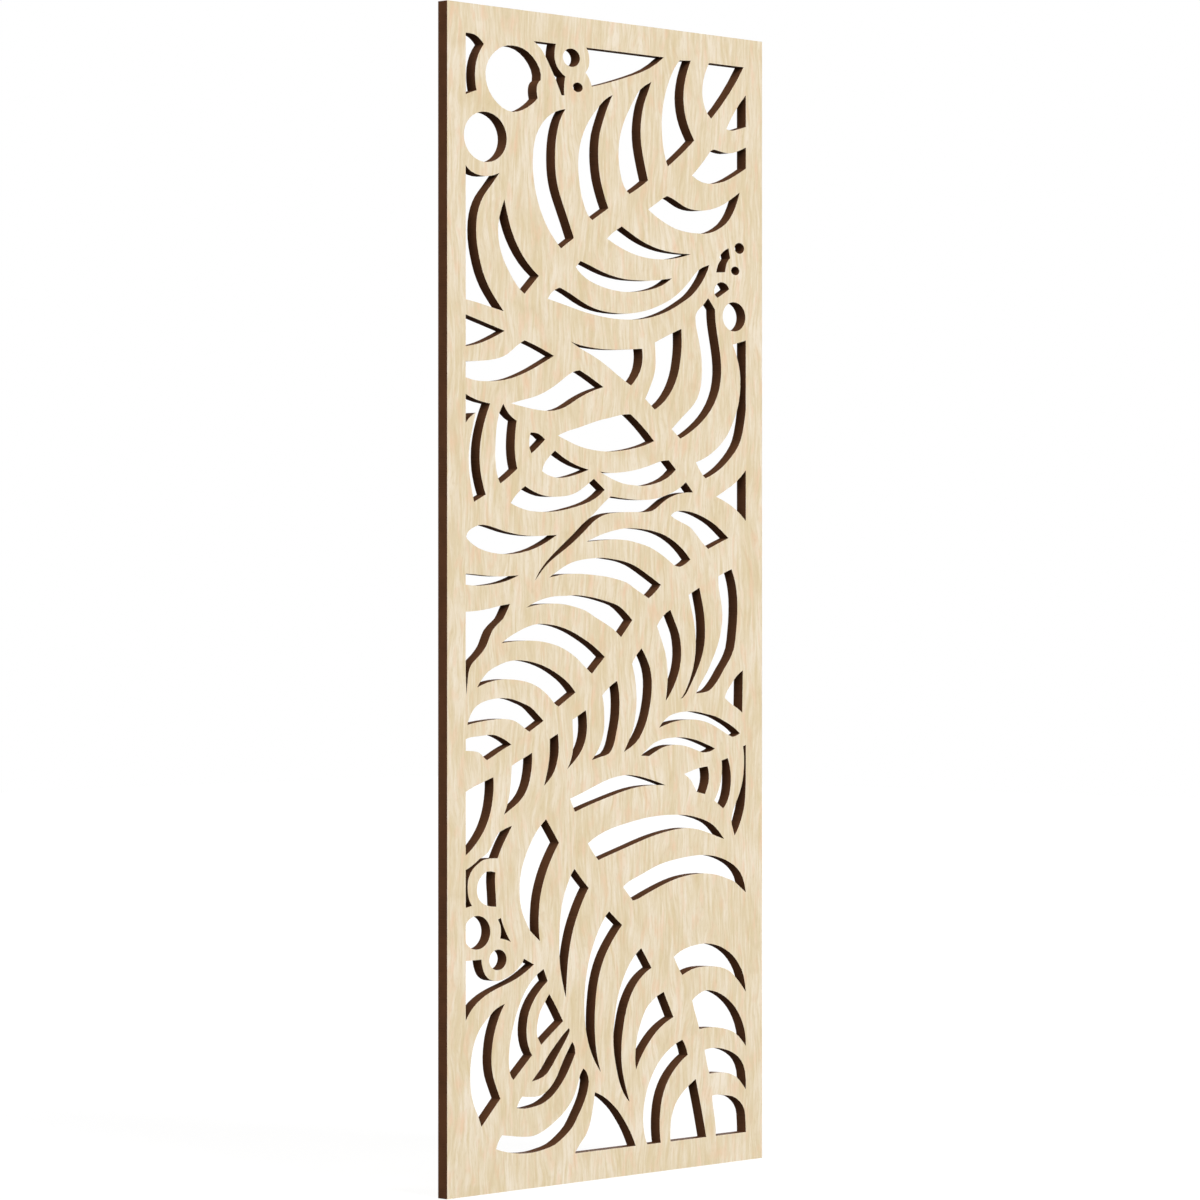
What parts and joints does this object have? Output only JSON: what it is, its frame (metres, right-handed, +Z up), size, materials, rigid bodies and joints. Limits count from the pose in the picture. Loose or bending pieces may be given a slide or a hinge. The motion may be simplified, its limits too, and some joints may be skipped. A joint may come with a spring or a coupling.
{
  "type": "fretwork wall panel",
  "caption": "Tall thin wood panel for a wall, pierced right through with leaves, veins and bubbles, with keyhole hangers let into its back.",
  "frame": {"origin": "centre of the panel's back, on the plane that touches the wall", "axes": "+Z up along the panel's height, +Y out of the back into the wall, +X to the right as the face is seen"},
  "size_m": [0.24, 0.0064, 0.6],
  "materials": {
    "face_veneer": "matt pale veneer",
    "core": "dark scorched fibreboard edge",
    "back_veneer": "matt pale veneer",
    "hanger_plate": "zinc plated",
    "screw": "zinc plated"
  },
  "bodies": {
    "root": {"face_veneer": "face_veneer", "core": "core", "back_veneer": "back_veneer", "left_hanger": "hanger_plate", "right_hanger": "hanger_plate", "left_upper_screw": "screw", "left_lower_screw": "screw", "right_upper_screw": "screw", "right_lower_screw": "screw"}
  },
  "joints": []
}
